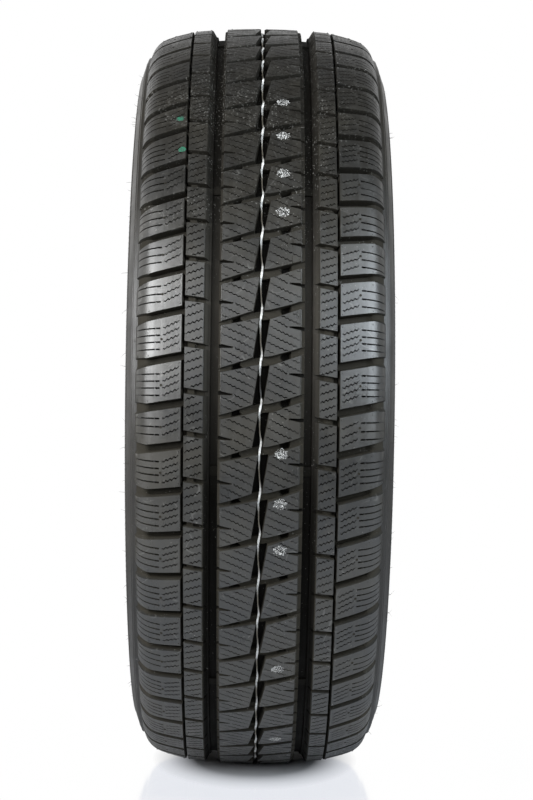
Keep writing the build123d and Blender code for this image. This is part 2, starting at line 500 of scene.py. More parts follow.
# Each ray is a low ridge: lines along it at both feet and the crest, sunk into the wall at its two ends
def makeRays(side):
    ends = acrossAtRadius([rays["outer"], rays["inner"]])
    across = np.interp([0.0, rays["end"], 1 - rays["end"], 1.0], [0, 1], ends)[None, :, None]
    middle = np.arange(rays["count"])[:, None, None] * girth / rays["count"]
    along = middle + side * rays["half"] * np.array([-1.0, -rays["crest"], rays["crest"], 1.0])
    rise = np.array([0.0, 1.0, 1.0, 0.0])
    sink = rays["root"] - (rays["height"] + rays["root"]) * rise[:, None] * rise
    faces = copiedFaces(gridFaces(4, 4)[:, ::-1], rays["count"], 16)
    name = "raysRight" if side > 0 else "raysLeft"
    makePiece(name, onTyre(side * across, along, sink), faces, wallRubber, 0.0)


makeRays(-1)
makeRays(1)

# Rows of blocks

lip = 0.28                          # rounding of the blocks' edges
hidden = 12.0                       # sink of the rows' ends, down in the carcass
nudge = 0.05                        # between two columns of an upright side
slitFoot = 0.75                     # width of a slit at its bottom over its mouth
endWithin = 0.1                     # columns nearer to an end of the slits than this are at it


# A row has for each of its columns the lower and upper edge of a block, the sinks of its top and of the
# groove's floor, the runs of the groove's walls, the column's lean over the block and its least tone.
# One pitch of a row as lines across it. From the middle of a groove they are its floor, the foot of its wall
# and the block's lower edge, then four lines to a slit, then the upper edge and the foot of the next wall.
# Lines that leave the block are held at its edge. The depth gives the tone, which paints shade into the
# colour, darkest in the slits
def pitchLines(row, letter):
    low, high = row["low"], row["high"] + letterLength[letter]
    seam = (row["low"] + row["high"]) / 2
    top, floor = row["top"], row["floor"]
    centre, half, deep = row["slits"](row, letter, low, high)
    first, last = low + 2 * lip, high - 2 * lip
    deep = deep * ((centre - half > first) & (centre + half < last))
    foot = slitFoot * half
    slits = np.stack([centre - half, centre - foot, centre + foot, centre + half], 1)
    slits = np.clip(slits.reshape(-1, len(low)), first, last)
    slitSink = np.stack([0 * deep, deep, deep, 0 * deep], 1).reshape(-1, len(low))
    slitSink = np.maximum(slitSink, top)
    edge = np.maximum(top, lip)
    along = np.vstack([
        seam, low - row["lowRun"], low, low + lip, slits, high - lip, high, high + row["highRun"]])
    sink = np.vstack([floor, floor, edge, top, slitSink, top, edge, floor])
    floorTone = np.minimum(floor, row["floorToneMost"])
    slitTones = np.where(slitSink > top + slitLeast, slitTone, slitSink)
    tone = np.vstack([floorTone, floorTone, edge, top, slitTones, top, edge, floorTone])
    sharp = np.full_like(top, edgeDull)
    topDull = np.where(top == lip, edgeDull, top)
    floorLike = np.maximum(floor, floorDull)
    dull = np.vstack([floorLike, floorLike, sharp, topDull, np.maximum(slitSink, topDull), topDull, sharp, floorLike])
    share = np.clip((along - low) / (high - low), 0, 1)
    across = acrossAt(row["columns"] + row["lean"] * (share - 0.5))
    return along, across, sink, np.maximum(tone, row["toneLeast"]), dull


# The pitches follow each other around the tread and close on themselves, and the two end columns close below
def makeRow(name, row):
    template = {letter: pitchLines(row, letter) for letter in "LS"}
    parts = [template[letter] for letter in tyre["pitchOrder"]]
    along = np.vstack([start + part[0] for start, part in zip(pitchStarts, parts)])
    across, sink, tone, dull = [np.vstack([part[k] for part in parts]) for k in (1, 2, 3, 4)]
    faces = gridFaces(*along.shape, True, True)
    makePiece(name, onTyre(across, along, sink), faces, treadRubber, tone, dull=dull)
    return row


# To and fro by one step from column to column
def zigzag(columns, step):
    return np.where(np.arange(len(columns)) % 2 == 0, step, -step)


# Puts the columns of a row in order from left to right, on the side that it is on
def onSide(side, row):
    order = slice(None, None, -1) if side < 0 else slice(None)
    far = row.pop("far")
    ordered = {key: value[order] if isinstance(value, np.ndarray) else value for key, value in row.items()}
    return {"side": side, "columns": side * far[order], **ordered}


# Shoulder blocks. Past the tread's edge the groove between them climbs on to a shelf, which runs out level
# with the blocks' ends under the sidewall
shoulder = {
    "reach": 61.9,                       # where the inner side goes down in the narrow groove
    "edge": 63.4,                        # the blocks' inner edge, whose side has a short run
    "edgeRun": 0.25,
    "innerTop": (hidden, 9.6, 9.6, lip),     # sinks of the first columns, up to the edge
    "innerFloor": (hidden, 7.2, 7.2),
    "zigzag": (65.3, 1.62, 9),           # first column, spacing and number of the zigzag's columns
    "zigzagGap": 0.3,                    # to the next columns on either side
    "outer": [80.6, 80.9, 82.5, 84.2, 84.5, 85.5, 85.8, 87.6, 89.0, 90.2, 91.2, 92.2, 93.6, 95.0, 96.4,
              97.8, 99.2, 100.6, 102.0, 103.6],
    "end": 104.6,
    "endSink": 5.0,
    "top": ([98.5, 101.0, 103.6], [0.0, 0.5, 2.2]),
    "floor": ([87.6, 90.2, 92.2, 95.0, 99.2, 102.0, 103.6], [7.3, 6.2, 4.4, 3.0, 2.1, 1.9, 3.0]),
    "floorToneMost": 5.0,
    "grooveStart": 63.2,                 # where the groove's place is measured
    "corner": 91.2,                      # where the tread's edge is, and the blocks' outlines turn
    "width": 6.7,
    "lowRun": 0.9,                       # run of the wall under the lower edge
    "highRun": ([90.2, 93.6], [1.0, 2.6]),   # and under the upper edge, a soft ramp on the shelf
    "slitTurn": 79.0,                    # where the slits stop sloping
    "slitJoint": 78.3,                   # where the slope is measured
    "slitStep": 0.72,
    "slitHalf": ([65.3, 67.0, 76.5, 78.3, 80.9, 84.5, 85.8, 90.0, 100.6],
                 [0.38, 0.60, 0.60, 0.38, 0.72, 0.72, 0.62, 0.58, 0.44]),
    "slitDeep": ([65.29, 65.3, 78.3, 78.31, 80.89, 80.9, 84.2, 84.5, 85.5, 85.8, 93.6, 97.8, 100.6],
                 [0.0, 3.8, 3.8, 0.0, 0.0, 4.5, 4.5, 1.5, 1.5, 4.2, 4.0, 2.6, 0.0]),
}


# Slits of a shoulder block: zigzag and sloping on the tread, then straight and level over the edge, with a
# bridge near their start, getting thinner and shallower outwards
def shoulderSlits(row, letter, low, high):
    columns, far = row["columns"], np.abs(row["columns"])
    level = np.array(row["levels"][letter])[:, None]
    slope = row["jump"] + row["slope"] * (columns - row["side"] * shoulder["slitJoint"])
    sway = slope + zigzag(columns, shoulder["slitStep"])
    centre = level + np.where(far < shoulder["slitTurn"], sway, 0.0)
    half = np.broadcast_to(np.interp(far, *shoulder["slitHalf"]), centre.shape)
    return centre, half, np.broadcast_to(np.interp(far, *shoulder["slitDeep"]), centre.shape)


# The lower edge is a straight line at the groove's slope, the upper edge one groove width below it, and both
# turn by a further slope past the tread's corner
def makeShoulder(name, side, groove, turns, levels, slope, jump):
    first, spacing, number = shoulder["zigzag"]
    reach, edge, gap = shoulder["reach"], shoulder["edge"], shoulder["zigzagGap"]
    inner = first + spacing * np.arange(number)
    far = np.r_[reach, reach + nudge, edge - shoulder["edgeRun"], edge, edge + lip, first - gap, inner,
                inner[-1] + gap, shoulder["outer"], shoulder["end"]]
    place, rise = groove
    past = np.maximum(far - shoulder["corner"], 0)
    seam = place + rise * side * (far - shoulder["grooveStart"])
    low = seam + shoulder["width"] / 2 + turns[0] * past
    high = seam - shoulder["width"] / 2 - turns[1] * past
    top, floor = np.interp(far, *shoulder["top"]), np.interp(far, *shoulder["floor"])
    top[:len(shoulder["innerTop"])] = shoulder["innerTop"]
    floor[:len(shoulder["innerFloor"])] = shoulder["innerFloor"]
    top[-1] = floor[-1] = shoulder["endSink"]
    return makeRow(name, onSide(side, {
        "far": far, "low": low, "high": high, "top": top, "floor": floor, "lean": np.zeros_like(far),
        "lowRun": np.full_like(far, shoulder["lowRun"]), "highRun": np.interp(far, *shoulder["highRun"]),
        "toneLeast": np.zeros_like(far), "floorToneMost": shoulder["floorToneMost"],
        "slits": shoulderSlits, "levels": levels, "slope": slope, "jump": jump,
    }))


leftShoulder = makeShoulder(
    "leftShoulder", -1, groove=(-3.5, 0.172), turns=(0.26, 0.10),
    levels={"L": (2.0, 8.0, 13.7, 19.5), "S": (4.0, 10.6, 17.4)}, slope=0.43, jump=0.0)
rightShoulder = makeShoulder(
    "rightShoulder", 1, groove=(-11.3, 0.193), turns=(0.0, 0.26),
    levels={"L": (2.8, 8.4, 14.0, 19.8), "S": (1.6, 8.2, 15.4)}, slope=0.42, jump=0.6)

# Ribs between the main and the narrow grooves, with a tie bar in each slot and a ledge along the main groove
rib = {
    "wall": [(40.4, hidden), (40.5, 10.0), (41.0, 6.9), (41.15, 6.7), (42.2, 6.4), (42.4, 6.3), (44.9, 1.2),
             (45.5, lip), (46.0, 0.0)],      # side along the main groove: offset and sink
    "floorLike": (40.3, 45.0),               # the part of it that has the tone of the groove's floor, painted with its shade and its light at middle height
    "slitStart": 46.5,
    "slitEnd": 59.86,
    "slitColumns": 9,
    "narrow": 61.2,                      # edge along the narrow groove, whose side has a short run
    "narrowRun": 0.15,
    "narrowTop": (lip, 9.6, 9.6, hidden),    # sinks of the last columns, from the edge on
    "reach": 62.7,
    "floor": ([46.0, 51.6, 52.2, 58.2, 58.8], [5.4, 5.0, 3.0, 3.0, 6.4]),
    "slotStart": 45.5,                   # where the slot's place is measured
    "slotHalf": ([45.5, 61.2], [2.05, 2.25]),
    "run": 0.5,                          # of the slot's walls
    "centre": 53.3,
    "slits": {"number": 3, "spacing": {"L": 7.07, "S": 6.6}, "slope": 0.35, "step": 0.72, "half": 0.60,
              "endHalf": 0.3, "deep": 4.2},
}


# Parallel slits from edge to edge, the middle one through the block's centre
def ribSlits(row, letter, low, high):
    columns, look = row["columns"], rib["slits"]
    at = row["side"] * rib["centre"]
    middle = (np.interp(at, columns, low) + np.interp(at, columns, high)) / 2
    number = np.arange(-look["number"], look["number"] + 1)[:, None]
    centre = middle + look["spacing"][letter] * number + look["slope"] * (columns - at)
    centre = centre + zigzag(columns, look["step"])
    first, last = row["slitEnds"]
    far = np.abs(columns)
    within = (far > first - endWithin) & (far < last + endWithin)
    atEnd = (far < first + endWithin) | (far > last - endWithin)
    half = np.where(atEnd, look["endHalf"], look["half"])
    return centre, np.broadcast_to(half, centre.shape), np.broadcast_to(within * look["deep"], centre.shape)


# The slot is a straight line at its slope, with the lower edge above and the upper edge below it. The side
# along the main groove can lie further out by a shift
def makeRib(name, side, slot, shift):
    wall = np.array(rib["wall"])
    narrow, reach, ends = rib["narrow"], rib["reach"], (rib["slitStart"] + shift, rib["slitEnd"])
    far = np.r_[wall[:, 0] + shift, np.linspace(*ends, rib["slitColumns"]), narrow - lip, narrow,
                narrow + rib["narrowRun"], reach - nudge, reach]
    floorLike = (far > rib["floorLike"][0]) & (far < rib["floorLike"][1] + shift)
    top = np.zeros_like(far)
    top[:len(wall)] = wall[:, 1]
    top[-len(rib["narrowTop"]):] = rib["narrowTop"]
    floor = np.maximum(np.interp(far, *rib["floor"]), np.where(floorLike, top, 0.0))
    floor[-1] = hidden
    place, rise = slot
    seam = place + rise * side * (far - rib["slotStart"])
    half = np.interp(far, *rib["slotHalf"])
    run = np.full_like(far, rib["run"])
    return makeRow(name, onSide(side, {
        "far": far, "low": seam + half, "high": seam - half, "top": top, "floor": floor, "lowRun": run,
        "highRun": run, "lean": np.zeros_like(far), "slits": ribSlits, "slitEnds": ends,
        "toneLeast": np.where(floorLike, mainTone, 0.0), "floorToneMost": hidden,
    }))


leftRib = makeRib("leftRib", -1, slot=(3.9, -0.15), shift=0.0)
rightRib = makeRib("rightRib", 1, slot=(17.8, -0.165), shift=1.0)

# Middle blocks either side of the sawtooth groove. Their grooves have a high floor with a deep pocket in it,
# and the blocks' outer sides have a narrow ledge and a notch each
middle = {
    "wall": [(31.5, 0.0), (31.9, lip), (32.05, 1.9), (32.2, 2.0), (33.8, 2.25), (33.9, 2.4), (34.5, 10.0),
             (34.6, hidden)],             # outer side: offset and sink
    "wallStart": 32.0,                    # the groove's floor is no higher than the side from here
    "shifted": 4,                         # how many of its last points can be shifted
    "outerEdge": 31.9,
    "sawReach": 0.3,                      # how far the groove floors run past the middle, under the ridge
    "sawStep": 0.02,                      # from there to the next column
    "sawRun": 0.3,                        # run of the side along the sawtooth groove
    "sawTop": (hidden, 9.4, 9.4, lip, 0.0),   # sinks of the first columns
    "zigzagStart": 1.3,                   # after the sawtooth's edge
    "zigzagEnd": 30.9,
    "zigzagCount": 16,
    "floor": ([4.0, 15.9, 16.3, 22.6, 23.0], [4.4, 3.6, 8.8, 8.8, 3.4]),
    "run": 0.55,                          # of the grooves' walls
    "lean": 5.0,                          # sideways run of the sawtooth's edge over a block
    "leanEnd": 24.0,                      # offset where the blocks' insides stop following it
    "slits": {"number": 4, "spacing": {"L": 6.5, "S": 7.15}, "slope": -0.45, "at": 20.9, "shift": 1.0,
              "step": 0.58, "half": 0.48, "deep": 4.2, "taper": ([0.0, 8.0], [0.55, 1.0]), "gapStart": 20.5,
              "gapEnd": 24.0},
    "notch": {"far": (24.0, 31.9), "half": (0.75, 1.6), "centre": (0.65, -0.4), "deep": 4.6},
}


# Parallel slits at one slope, thinner and shallower towards their ends. The middle one stops short of the
# block's outer side, where a notch takes its place
def middleSlits(row, letter, low, high):
    columns, look, notch = row["columns"], middle["slits"], middle["notch"]
    side, far = row["side"], np.abs(row["columns"])
    edge = side * middle["outerEdge"]
    centre = (np.interp(edge, columns, low) + np.interp(edge, columns, high)) / 2
    number = np.arange(-look["number"], look["number"] + 1)[:, None]
    slope = look["slope"] * (columns - side * look["at"])
    slits = centre + side * look["shift"] + look["spacing"][letter] * number + slope
    slits = slits + zigzag(columns, look["step"])
    start, end = row["slitEnds"]
    within = (far > start - endWithin) & (far < end + endWithin)
    taper = np.interp(np.minimum(far - start, end - far), *look["taper"])
    half = look["half"] * taper + 0 * slits
    deep = within * look["deep"] * taper + 0 * slits
    outer = far > look["gapStart"]
    k = look["number"]
    slits[k] = np.where(outer, centre + side * np.interp(far, notch["far"], notch["centre"]), slits[k])
    half[k] = np.where(outer, np.interp(far, notch["far"], notch["half"]), half[k])
    deep[k] = np.where(outer, (far > look["gapEnd"] - endWithin) * notch["deep"], deep[k])
    return slits, half, deep


# The edges are polylines over the offset, and the columns lean with the sawtooth's edge, fully there and
# less and less towards the block's outer side. The ledge there can be wider by a shift
def makeMiddle(name, side, saw, low, high, ridgeFloor, shift):
    wall = np.array(middle["wall"])
    wall[-middle["shifted"]:, 0] += shift
    ends = (saw + middle["zigzagStart"], middle["zigzagEnd"])
    inner = np.linspace(*ends, middle["zigzagCount"])
    start = -middle["sawReach"]
    far = np.r_[start, start + middle["sawStep"], saw - middle["sawRun"], saw, saw + lip, inner, wall[:, 0]]
    top = np.r_[middle["sawTop"], np.zeros_like(inner), wall[:, 1]]
    floor = np.maximum(np.interp(far, *middle["floor"]), np.where(far > middle["wallStart"], top, 0.0))
    floor[:3] = [hidden, ridgeFloor, ridgeFloor]
    lean = middle["lean"] * np.clip((middle["leanEnd"] - far) / (middle["leanEnd"] - saw), 0, 1)
    lean[:2] = 0.0                        # what lies under the ridge stays straight
    lean[2:5] = middle["lean"]            # and the side and edge along the sawtooth lean fully
    run = np.full_like(far, middle["run"])
    return makeRow(name, onSide(side, {
        "far": far, "low": np.interp(side * far, *low), "high": np.interp(side * far, *high), "top": top,
        "floor": floor, "lowRun": run, "highRun": run, "lean": lean, "slits": middleSlits, "slitEnds": ends,
        "toneLeast": np.zeros_like(far), "floorToneMost": hidden,
    }))


leftMiddle = makeMiddle(
    "leftMiddle", -1, saw=3.87, low=([-34.0, 0.3], [-13.8, -3.5]),
    high=([-34.0, -22.3, -12.9, -6.3, 0.3], [-16.9, -14.7, -12.5, -10.6, -10.6]), ridgeFloor=4.6, shift=0.0)
rightMiddle = makeMiddle(
    "rightMiddle", 1, saw=4.53, low=([-0.3, 8.0, 12.4, 21.2, 34.0], [-4.1, -4.1, -2.9, -0.1, 4.2]),
    high=([-0.3, 7.1, 15.7, 23.4, 34.0], [-12.0, -10.6, -7.9, -5.4, -1.7]), ridgeFloor=4.7, shift=1.0)

# Ridge along the middle of the sawtooth groove, high at the blocks' grooves and low between them, and the
# paint line on it, which has one bare stretch
ridge = {
    "along": (-13.0, -8.0, -4.0, -1.5, 1.0, 5.0, 10.0, 15.0),      # after a pitch's start
    "sink": (3.8, 3.6, 3.6, 3.9, 5.0, 6.0, 6.2, 6.0),
    "sway": (-0.80, -0.15, 0.55, 0.85, 0.70, 0.05, -0.35, -0.55),   # of its middle, to and fro in the groove
    "swaying": ((-1077.0, -300.0, -110.0, 200.0, 400.0, 1077.0),    # how much of that there is all round
                (0.5, 0.4, 1.0, 0.85, 0.5, 0.5)),
    "half": 0.9,
    "profile": ((-1.0, -0.85, -0.5, 0.5, 0.85, 1.0), (hidden, 0.2, 0.0, 0.0, 0.2, hidden)),
    "tone": 3.0,                    # added to its sink, painting it in the groove's darker shade
}
paint = {
    "bare": (-2.2, 15.6),           # from one place along to another
    "lines": 1500,
    "half": (0.80, 0.85, 0.85, 0.78, 0.58, 0.44, 0.42, 0.5),        # at the ridge's places
    "profile": ((-1.0, -0.9, 0.9, 1.0), (0.25, -0.10, -0.10, 0.25)),
    "ragged": ((0.08, 0.9, 0.0), (0.06, 2.3, 1.0)),                 # waves of its edges: height, pace, start
    "wander": (0.1, 0.41),          # of its middle: height, pace
    "end": (1.2, 0.35),             # length over which it narrows, and the share that is left
}


# A ring of lines, each a flat-topped hump that stands on the carcass
def makeRidge():
    along = (pitchStarts[:, None] + np.array(ridge["along"])).ravel()
    sink, sway = np.tile(ridge["sink"], len(pitchStarts)), np.tile(ridge["sway"], len(pitchStarts))
    sway = sway * np.interp((along + girth / 2) % girth - girth / 2, *ridge["swaying"])
    shape, drop = np.array(ridge["profile"])
    across = sway[:, None] + ridge["half"] * shape
    sinks = np.where(drop < hidden, sink[:, None] + drop, drop)
    points = onTyre(across, along[:, None], sinks)
    makePiece("sawRidge", points, gridFaces(*across.shape, True, True), treadRubber, sinks + ridge["tone"])
    return along, sink, sway


# A thin band on the ridge's top, whose edges are ragged by waves, from one end of the bare stretch all round
# to the other
def makePaintLine(ridgeAlong, ridgeSink, ridgeSway):
    start, end = paint["bare"][1], paint["bare"][0] + girth
    along = np.linspace(start, end, paint["lines"])
    halves = np.tile(paint["half"], len(pitchStarts))
    sink, sway, half = [np.interp(along, ridgeAlong, value, period=girth)
                        for value in (ridgeSink, ridgeSway, halves)]
    ragged = sum(height * np.sin(along * pace + begin) for height, pace, begin in paint["ragged"])
    length, left = paint["end"]
    half = (half + ragged) * np.clip(np.minimum(along - start, end - along) / length + left, 0, 1)
    height, pace = paint["wander"]
    shape, drop = np.array(paint["profile"])
    across = (sway + height * np.sin(along * pace))[:, None] + half[:, None] * shape
    sinks = sink[:, None] + drop
    points = onTyre(across, along[:, None], sinks)
    makePiece("paintLine", points, gridFaces(*across.shape, False, True), whitePaint, sinks)


makePaintLine(*makeRidge())


# Small things that repeat, each a few rings of points about a place on the tread: the ring's radius turns
# around the place over the surface, wavy where it is uneven, and its height lifts it off
def makeDots(name, places, radius, profile, material, sides, tone=0.0, uneven=0.0):
    places = np.asarray(places, float)
    share, height = np.array(profile).T
    turn = np.arange(sides) * 2 * np.pi / sides
    size = np.broadcast_to(radius, len(places))[:, None, None] * share[None, :, None]
    start = places[:, 1:2]
    wave = 1 + uneven * np.sin(3 * turn + start * 1.7) + uneven * np.cos(2 * turn + start)
    size = size * wave[:, None, :]
    across = acrossAt(places[:, 0])[:, None, None] + size * np.cos(turn)
    along = places[:, 1][:, None, None] + size * np.sin(turn)
    faces = gridFaces(len(share), sides, False, True)[:, ::-1]
    faces = copiedFaces(faces, len(places), len(share) * sides)
    makePiece(name, onTyre(across, along, -height[None, :, None]), faces, material, tone)


# The same places in every pitch, some after its start and some before its end
def everyPitch(afterStart, beforeEnd=()):
    places = [[(offset, start + along) for offset, along in afterStart]
              + [(offset, start + length + along) for offset, along in beforeEnd]
              for start, length in zip(pitchStarts, pitchLengths)]
    return np.array(places).reshape(-1, 2)


# Stubs that the mould's vents leave on the blocks, and the round marks of its pins on the shoulders. A
# profile has each ring's share of the radius and its height, and a place has its offset and along
stubs = {
    "profile": [(0.0, 0.55), (0.7, 0.5), (1.0, 0.2), (1.0, -0.3)],
    "radius": 0.6,
    "sides": 7,
    "afterStart": [(-65.2, 2.0), (65.2, -5.8), (90.0, -1.0), (-46.9, 9.0), (-60.0, 11.2), (60.0, 19.6),
                   (47.4, 22.6), (3.9, -1.7), (-8.2, -3.6), (-90.2, -3.0)],
    "beforeEnd": [(-65.2, -9.2), (65.2, -16.4), (90.0, -12.4), (-28.0, -18.6), (29.0, -5.2), (60.0, 11.6)],
}
pins = {
    "profile": [(0.0, 0.10), (0.55, 0.10), (0.75, 0.32), (1.0, 0.28), (1.05, -0.3)],
    "radius": 1.05,
    "sides": 9,
    "afterStart": [(-79.5, 10.4), (79.6, 11.2)],
}
makeDots("ventStubs", everyPitch(stubs["afterStart"], stubs["beforeEnd"]), stubs["radius"], stubs["profile"],
         treadRubber, stubs["sides"])
makeDots("pinMarks", everyPitch(pins["afterStart"]), pins["radius"], pins["profile"], grooveRubber,
         pins["sides"], shelfTone)

# Two round dabs of green ink on the left shoulder, and worn patches of white ink on the right middle blocks
inkProfile = [(0.0, 0.07), (0.8, 0.07), (1.0, 0.04), (1.05, -0.1)]
greenDabs = {"places": [(-69.0, 258.0), (-66.5, 220.0)], "radius": 3.0, "sides": 18, "uneven": 0.10}
whiteSpots = {
    "offset": 17.0,
    "along": [276.0, 233.0, 192.0, 154.0, -47.0, -88.0, -128.0, -250.0, -366.0],
    "number": 46,                        # to a patch
    "spread": (5.4, 4.4),                # half of its size across and along
    "jitter": 0.22,
    "radius": 0.50,
    "sizes": (0.6, 1.3),                 # smallest and largest over that
    "sides": 8,
    "uneven": 0.14,
    "seed": 5,
}
makeDots("greenDabs", greenDabs["places"], greenDabs["radius"], inkProfile, greenInk, greenDabs["sides"],
         uneven=greenDabs["uneven"])


# Spots of uneven sizes, spread evenly over the ellipse of each patch like the seeds of a sunflower: each
# turns by the golden angle, and the square of its reach grows evenly
def makeInkSpots():
    scatter = np.random.default_rng(whiteSpots["seed"])
    centre = np.array([(whiteSpots["offset"], along) for along in whiteSpots["along"]])
    number = np.arange(whiteSpots["number"])
    reach = np.sqrt((number + 0.5) / whiteSpots["number"])
    goldenAngle = math.pi * (3 - math.sqrt(5))
    turn = goldenAngle * number + scatter.uniform(0, 2 * np.pi, (len(centre), 1))
    away = np.stack([reach * np.cos(turn), reach * np.sin(turn)], -1) * whiteSpots["spread"]
    away = away + scatter.normal(0, whiteSpots["jitter"], away.shape)
    places = (centre[:, None] + away).reshape(-1, 2)
    radius = whiteSpots["radius"] * scatter.uniform(*whiteSpots["sizes"], len(places))
    makeDots("whiteInkSpots", places, radius, inkProfile, whiteInk, whiteSpots["sides"],
             uneven=whiteSpots["uneven"])


makeInkSpots()

whiskers = {
    "number": 190,
    "radius": (262.0, 322.0),            # where they stand on the sidewalls
    "length": (2.5, 5.5),
    "bend": 2.2,
    "thick": 0.21,
    "taper": (1.05, 0.75),               # thickness at the root, and how much of it goes towards the tip
    "root": (0.15, 0.8),                 # share of the length and depth that start in the rubber
    "rings": 5,
    "sides": 5,
    "sharpAngle": 60.0,
    "seed": 11,
}


# Thin rubber hairs from the mould's vents: each leaves the surface along its normal and bends over with the
# square of its length, tapering
def makeWhiskers():
    scatter = np.random.default_rng(whiskers["seed"])
    number, rings, sides = whiskers["number"], whiskers["rings"], whiskers["sides"]
    side = np.where(scatter.random(number) < 0.5, -1, 1)
    place = side * acrossAtRadius(scatter.uniform(*whiskers["radius"], number))
    along = scatter.uniform(0, girth, number)
    length = scatter.uniform(*whiskers["length"], number)[:, None, None]
    bend = scatter.normal(0, whiskers["bend"], (number, 2))
    before, depth = whiskers["root"]
    t = np.linspace(-before, 1, rings)[None, :, None]
    turn = np.arange(sides) * 2 * np.pi / sides
    full, lost = whiskers["taper"]
    thick = whiskers["thick"] * (full - lost * np.clip(t, 0, 1))
    across = place[:, None, None] + bend[:, 0][:, None, None] * t ** 2 + thick * np.cos(turn)
    around = along[:, None, None] + bend[:, 1][:, None, None] * t ** 2 + thick * np.sin(turn)
    sink = depth - (length + depth) * t
    faces = copiedFaces(gridFaces(rings, sides, False, True), number, rings * sides)
    makePiece("whiskers", onTyre(across, around, sink), faces, treadRubber, 0.0, whiskers["sharpAngle"])


makeWhiskers()

# Wear bars across the main grooves' floors
wearBars = {
    "along": [180.0, -63.0, -278.0, -520.0, -763.0, -1005.0, -1248.0, -1490.0, -1733.0],
    "offset": [33.7, 34.1, 41.8, 42.2],  # feet and upper edges at both ends
    "half": 4.0,
    "footHalf": 1.15,                    # the foot over the top
    "sink": 8.2,
    "footSink": 11.0,
}


# Low boxes with sloping sides from wall to wall
def makeWearBars():
    offset = np.array(wearBars["offset"])
    rise = np.array([0.0, 1.0, 1.0, 0.0])
    run = wearBars["half"] * np.array([-wearBars["footHalf"], -1.0, 1.0, wearBars["footHalf"]])
    along = np.array(wearBars["along"])[:, None, None] + run[:, None]
    foot = wearBars["footSink"]
    sink = foot - (foot - wearBars["sink"]) * rise[:, None] * rise
    points = np.concatenate([onTyre(acrossAt(side * offset[::side]), along, sink) for side in (-1, 1)])
    faces = copiedFaces(gridFaces(4, 4), len(points), 16)
    makePiece("wearBars", points, faces, grooveRubber, wearBars["sink"])


makeWearBars()

# Hairline ridges that the mould's joints leave on the blocks
jointLines = {
    "along": [184.0, -66.0, -304.0, -542.0, -780.0, -1018.0, -1256.0, -1494.0, -1732.0],
    "half": 0.35,
    "height": 0.22,
    "root": 0.15,                        # how deep their feet are sunk
    "edgeGap": 1.0,                      # to the blocks' edges
    "topSink": 0.1,                      # they run only over columns higher than this
}


# A three-sided bead over each row's tops, left out between columns where the row has no block at that place
def makeJointLines(rows):
    run = jointLines["half"] * np.array([-1.0, 0.0, 1.0])
    sink = np.array([jointLines["root"], -jointLines["height"], jointLines["root"]])
    gap = jointLines["edgeGap"]
    points, faces, count = [], [], 0
    for along in jointLines["along"]:
        local = (along - pitchStarts) % girth
        index = int(np.argmin(local))
        for row in rows:
            for shift in (-1, 0, 1):
                pitch = (index + shift) % len(pitchStarts)
                place = local[index] - shift * pitchLengths[index if shift >= 0 else pitch]
                low, high = row["low"], row["high"] + pitchLengths[pitch]
                onBlock = (place > low + gap) & (place < high - gap) & (row["top"] < jointLines["topSink"])
                pairs = np.nonzero(onBlock[:-1] & onBlock[1:])[0]
                if len(pairs) == 0:
                    continue
                share = np.clip((place - low) / (high - low), 0, 1)
                across = acrossAt(row["columns"] + row["lean"] * (share - 0.5))
                points.append(onTyre(across[:, None], along + run, sink).reshape(-1, 3))
                strip = gridFaces(len(across), 3, False, True).reshape(-1, 3, 4)[pairs].reshape(-1, 4)
                faces.append(strip[:, ::-1] + count)
                count += len(across) * 3
    points, faces = np.concatenate(points), np.concatenate(faces)
    used, faces = np.unique(faces, return_inverse=True)
    makePiece("jointLines", points[used], faces.reshape(-1, 4), treadRubber, 0.0)


makeJointLines([leftShoulder, leftRib, leftMiddle, rightMiddle, rightRib, rightShoulder])


# Floor, light and camera

white = (1, 1, 1, 1)
black = (0, 0, 0, 1)
floorLook = {
    "size": 16.0,
    "colour": (0.54, 0.55, 0.57, 1),
    "farColour": (0.115, 0.115, 0.118, 1),
    "end": (0.50, 0.85),                 # distances in metres between which it turns from one to the other
    "shape": (1.0, 0.3, 0.0),            # wider sideways than forwards
    "roughness": 0.6,
    "specular": 0.1,
    "glow": (0.09, 0.155),               # distances between which the camera sees more and more white
    "glowShape": (0.85, 1.6, 0.0),       # narrower sideways than forwards
    "glowColour": (0.79, 0.81, 0.86, 1),     # white but for what the floor mirrors
    "mirror": (0.21, 0.19, 0.14, 1),
    "mirrorRoughness": 0.10,
    "mirrorEnd": (0.22, 0.42),           # distances between which the mirror image fades
    "mirrorShape": (1.0, 1.0, 0.0),
}


# Distance from the middle, after each axis is multiplied by its share of the shape
def distanceOver(tree, coords, shape):
    shaped = addNode(tree, "ShaderNodeVectorMath", {0: coords, 1: shape}, operation="MULTIPLY").outputs[0]
    return addNode(tree, "ShaderNodeVectorMath", {0: shaped}, operation="LENGTH").outputs["Value"]


